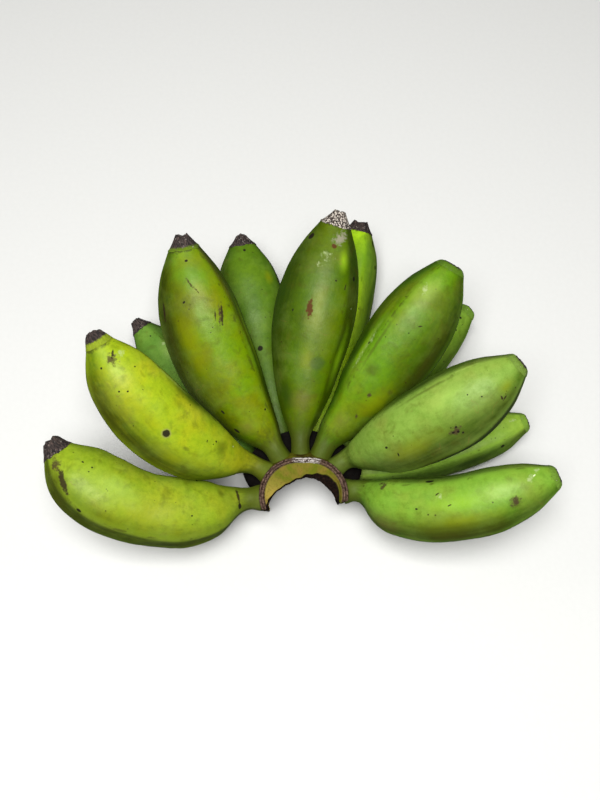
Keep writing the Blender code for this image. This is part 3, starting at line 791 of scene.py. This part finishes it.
def crown_section(angle, edge, look):
    """Corners round the crown's wall at this angle: radius, height, steps to the next, and the tissue.

    edge is the radius of the torn edge there.
    """
    degrees = math.degrees(angle)
    rim = rim_share(angle)
    side = CROWN_RADIUS
    rag = 0.5 + 0.5 * noise.noise(Vector((angle * 4.0, 0, 0)))
    top = edge + 0.0008 * (rag - 0.5)
    foot = top + hollow_reach(angle, CROWN_BOTTOM) - hollow_reach(angle, SCAR_TOP) + 0.0015
    torn = 0.0006 + 0.0006 * rag + look.torn_width * smooth((degrees + 15) / 95) * (0.85 + 0.3 * rag)
    torn = min(torn, 0.0225 * rim - top - 0.0008)
    drop = 0.45 * torn
    waver = 0.0004 * noise.noise(Vector((angle * 9.0, 5.0, 0)))
    # The tissue that joins the stalks between the two rows: a sheet in their gaps, painted near black as shade
    painted_shade_web = 0.0265 + 0.0115 * smooth((96 - abs(degrees)) / 30)
    return (
        (0.0222, CROWN_BOTTOM, 3, "skin"), (0.0243, -0.0325, 2, "skin"), (side, -0.0290, 12, "skin"),
        (side, -0.0125, 8, "torn"), (painted_shade_web, -0.0085, 3, "torn"), (painted_shade_web + 0.0004, -0.0070, 8, "torn"),
        (side, -0.0040, 6, "torn"), (side, 0.0025, 5, "seam"), (mix(side, side * rim, 0.45), 0.0062, 4, "seam"),
        (0.0252 * rim, 0.0080, 3, "seam"), (0.0261 * rim, 0.0088, 3, "scar"),
        (0.0267 * rim, 0.0101, 3, "scar"), (0.0262 * rim, 0.0114 + waver, 3, "scar"),
        (0.0256 * rim, 0.0116 + waver, 3, "scar"), (0.0251 * rim, 0.0104, 3, "scar"),
        (0.0246 * rim, 0.0112 - waver, 3, "scar"), (0.0239 * rim, 0.0110 - waver, 3, "scar"),
        (0.0234 * rim, 0.0096, 3, "scar"), (0.0227 * rim, 0.0091, 12, "band"),
        (top + torn, 0.0107, 3, "band"), (top + 0.85 * torn, 0.0104, 9, "torn"),
        (top + 0.0003, 0.0105 - drop, 3, "torn"), (top, 0.0098 - drop, 24, "torn"),
        (foot, -0.0335, 3, "torn"), (foot + 0.0008, CROWN_BOTTOM, 12, "skin"),
    )


def make_crown(look):
    """The cut crown, as sections of its wall from the left end to the right."""
    # Each section has as many points as its corners have steps, made up to a multiple of four
    around = sum(corner[2] for corner in crown_section(0, 0.009, look))
    around += -around % 4
    rings = 240

    def section(ring):
        """Radius, height and tissues of the points round the wall's section at this ring."""
        share = ring / (rings - 1)
        # The torn edge's radius and its direction depend on each other, so they are found in steps
        edge = 0.016
        for _ in range(6):
            edge = mix(edge, edge_radius(mix(end_angle(edge, -1), end_angle(edge, 1), share)), 0.6)
        middle = mix(end_angle(0.024, -1), end_angle(0.024, 1), share)
        corners = crown_section(middle, edge, look)
        points = []
        for first, second in zip(corners, corners[1:] + corners[:1]):
            for part in (i / first[2] for i in range(first[2])):
                points.append((mix(first[0], second[0], part), mix(first[1], second[1], part),
                               [mix(first[3] == zone, second[3] == zone, part) for zone in ZONES]))
        return points + [points[0]] * (around - len(points))

    sections = [section(ring) for ring in range(rings)]
    rim_foot = 0.008  # height at which the cut rim starts

    def place(turn, ring):
        share = ring / (rings - 1)
        radius, height, tissue = sections[ring][turn]
        left, right = end_angle(radius, -1), end_angle(radius, 1)
        angle = mix(left, right, share)
        arc = Vector((angle * CROWN_RADIUS, radius, height))
        scar, torn, band, seam = tissue
        lumps = noise.noise(arc / 0.0022) * (0.00030 * scar + 0.00045 * torn + 0.00008 * band)
        lumps += noise.noise(arc / 0.0008) * (0.00012 * scar + 0.00025 * torn)
        # The ends are rounded over by a millimetre
        to_end = min(share, 1 - share) * (right - left) * radius
        shy = 0.0010 * (1 - math.sqrt(max(0.0, 1 - (1 - min(to_end / 0.0012, 1.0)) ** 2)))
        middle_radius = 0.5 * (CROWN_RADIUS * rim_share(angle) + edge_radius(angle))
        radius += shy if radius < middle_radius else -shy
        if height > rim_foot:
            height -= shy
        radius += 0.4 * lumps
        return on_crown(angle, radius, height + lumps), arc, scar, torn, band, seam

    piece("cut_crown", tube(around, rings, place, ZONES), crown_tissue(), "crown", crease=60)


def make_stage(look):
    """The paper that the hand lies on, two square lamps, an even fill and the camera of the photo."""
    scene = bpy.context.scene
    shape = bmesh.new()
    bmesh.ops.create_grid(shape, x_segments=2, y_segments=2, size=3.0)
    mesh = bpy.data.meshes.new("floor")
    shape.to_mesh(mesh)
    shape.free()
    mesh.materials.append(pale_paper())
    floor = bpy.data.objects.new("floor", mesh)
    scene.collection.objects.link(floor)
    floor.visible_glossy = False  # the skins mirror the dark studio, not the bright paper

    world = bpy.data.worlds.new("studio")
    world.use_nodes = True
    world.node_tree.nodes["Background"].inputs["Color"].default_value = (1, 1, 1, 1)
    world.node_tree.nodes["Background"].inputs["Strength"].default_value = look.fill
    scene.world = world
    for name, place, size, power in (
        ("key", (-0.05, -0.34, 1.22), 0.6, look.key),
        ("side", (-0.9, 0.3, 0.9), 0.8, 0.05 * look.key),
    ):
        lamp = bpy.data.lights.new(name, "AREA")
        lamp.shape = "SQUARE"
        lamp.size = size
        lamp.energy = power
        obj = bpy.data.objects.new(name, lamp)
        obj.location = place
        obj.rotation_mode = "QUATERNION"
        obj.rotation_quaternion = (Vector((0, 0, 0.03)) - Vector(place)).to_track_quat("-Z", "Y")
        scene.collection.objects.link(obj)

    target, distance = Vector((-0.0010, -0.0164, 0.0342)), 0.55
    down = math.radians(look.camera_elevation)
    back = Vector((0, -math.cos(down), math.sin(down)))
    lens = bpy.data.cameras.new("camera")
    lens.lens = look.camera_lens
    lens.sensor_width = 36
    lens.clip_start = 0.01
    camera = bpy.data.objects.new("camera", lens)
    camera.location = target + back * distance
    camera.rotation_euler = (math.pi / 2 - down, 0, 0)
    scene.collection.objects.link(camera)
    scene.camera = camera
    scene.view_settings.view_transform = "Standard"


class BananaSkinSettings(bpy.types.PropertyGroup):
    skin_around: bpy.props.IntProperty(
        name="Faces round", description="Faces round each finger", default=96, min=16)
    skin_rings: bpy.props.IntProperty(
        name="Rings along", description="Rings of faces along each finger", default=140, min=20)
    ridge_depth: bpy.props.FloatProperty(
        name="Ridge depth", description="How far the faces lie inside the ridges, as a share of the radius",
        default=0.11, subtype="FACTOR")
    wave_height: bpy.props.FloatProperty(
        name="Wave height", description="Height of the low waves in the skin", default=0.00035,
        unit="LENGTH", precision=5)
    root_flare: bpy.props.FloatProperty(
        name="Root flare", description="How much a stalk widens where it meets the crown", default=0.22,
        subtype="FACTOR")
    wax_haze: bpy.props.FloatProperty(
        name="Wax haze", description="How much the wax greys the green", default=0.15, subtype="FACTOR")
    freckle_spacing: bpy.props.FloatProperty(
        name="Freckle spacing", description="Size of the cells that may hold a freckle", default=0.0038,
        unit="LENGTH", precision=5)


class BananaCrownSettings(bpy.types.PropertyGroup):
    torn_width: bpy.props.FloatProperty(
        name="Torn width", description="Width of the torn face on the crown's right side", default=0.0056,
        unit="LENGTH", precision=4)
    ragged_skirt: bpy.props.FloatProperty(
        name="Ragged skirt", description="How far a dried flower end laps over the skin", default=0.0012,
        unit="LENGTH", precision=4)


class BananaStageSettings(bpy.types.PropertyGroup):
    key: bpy.props.FloatProperty(
        name="Key light", description="Power of the large light above the hand", default=28.0,
        unit="POWER")
    fill: bpy.props.FloatProperty(
        name="Fill", description="Strength of the even light from all round", default=0.05)
    camera_elevation: bpy.props.FloatProperty(
        name="Camera elevation", description="Degrees above the floor", default=67.0)
    camera_lens: bpy.props.FloatProperty(
        name="Camera lens", description="Focal length in millimetres", default=41.65)


class BANANA_OT_fingers(bpy.types.Operator):
    """Make the skins of the twelve fingers"""

    bl_idname = "banana.fingers"
    bl_label = "Finger skins"

    def execute(self, context):
        make_fingers(context.scene.banana_skin)
        return {"FINISHED"}


class BANANA_OT_flower_ends(bpy.types.Operator):
    """Make the dried flower end of each finger"""

    bl_idname = "banana.flower_ends"
    bl_label = "Dried flower ends"

    def execute(self, context):
        make_flower_ends(context.scene.banana_crown)
        return {"FINISHED"}


class BANANA_OT_crown(bpy.types.Operator):
    """Make the cut crown that holds the fingers"""

    bl_idname = "banana.crown"
    bl_label = "Cut crown"

    def execute(self, context):
        make_crown(context.scene.banana_crown)
        return {"FINISHED"}


class BANANA_OT_stage(bpy.types.Operator):
    """Make the floor, the lights and the camera"""

    bl_idname = "banana.stage"
    bl_label = "Stage"

    def execute(self, context):
        make_stage(context.scene.banana_stage)
        return {"FINISHED"}


class BANANA_PT_panel(bpy.types.Panel):
    bl_idname = "BANANA_PT_panel"
    bl_label = "Hand of green bananas"
    bl_space_type = "VIEW_3D"
    bl_region_type = "UI"
    bl_category = "Bananas"

    def draw(self, context):
        for settings in (context.scene.banana_skin, context.scene.banana_crown, context.scene.banana_stage):
            for name in settings.__annotations__:
                self.layout.prop(settings, name)
        for operator in OPERATORS:
            self.layout.operator(operator.bl_idname)


SETTINGS = {
    "banana_skin": BananaSkinSettings,
    "banana_crown": BananaCrownSettings,
    "banana_stage": BananaStageSettings,
}
OPERATORS = (BANANA_OT_fingers, BANANA_OT_flower_ends, BANANA_OT_crown, BANANA_OT_stage)


def register():
    for made in (*SETTINGS.values(), *OPERATORS, BANANA_PT_panel):
        bpy.utils.register_class(made)
    for name, group in SETTINGS.items():
        setattr(bpy.types.Scene, name, bpy.props.PointerProperty(type=group))


def unregister():
    for name in SETTINGS:
        delattr(bpy.types.Scene, name)
    for made in reversed((*SETTINGS.values(), *OPERATORS, BANANA_PT_panel)):
        bpy.utils.unregister_class(made)


def main():
    register()
    bpy.ops.banana.fingers()
    bpy.ops.banana.flower_ends()
    bpy.ops.banana.crown()
    bpy.ops.banana.stage()


if __name__ == "__main__":
    main()
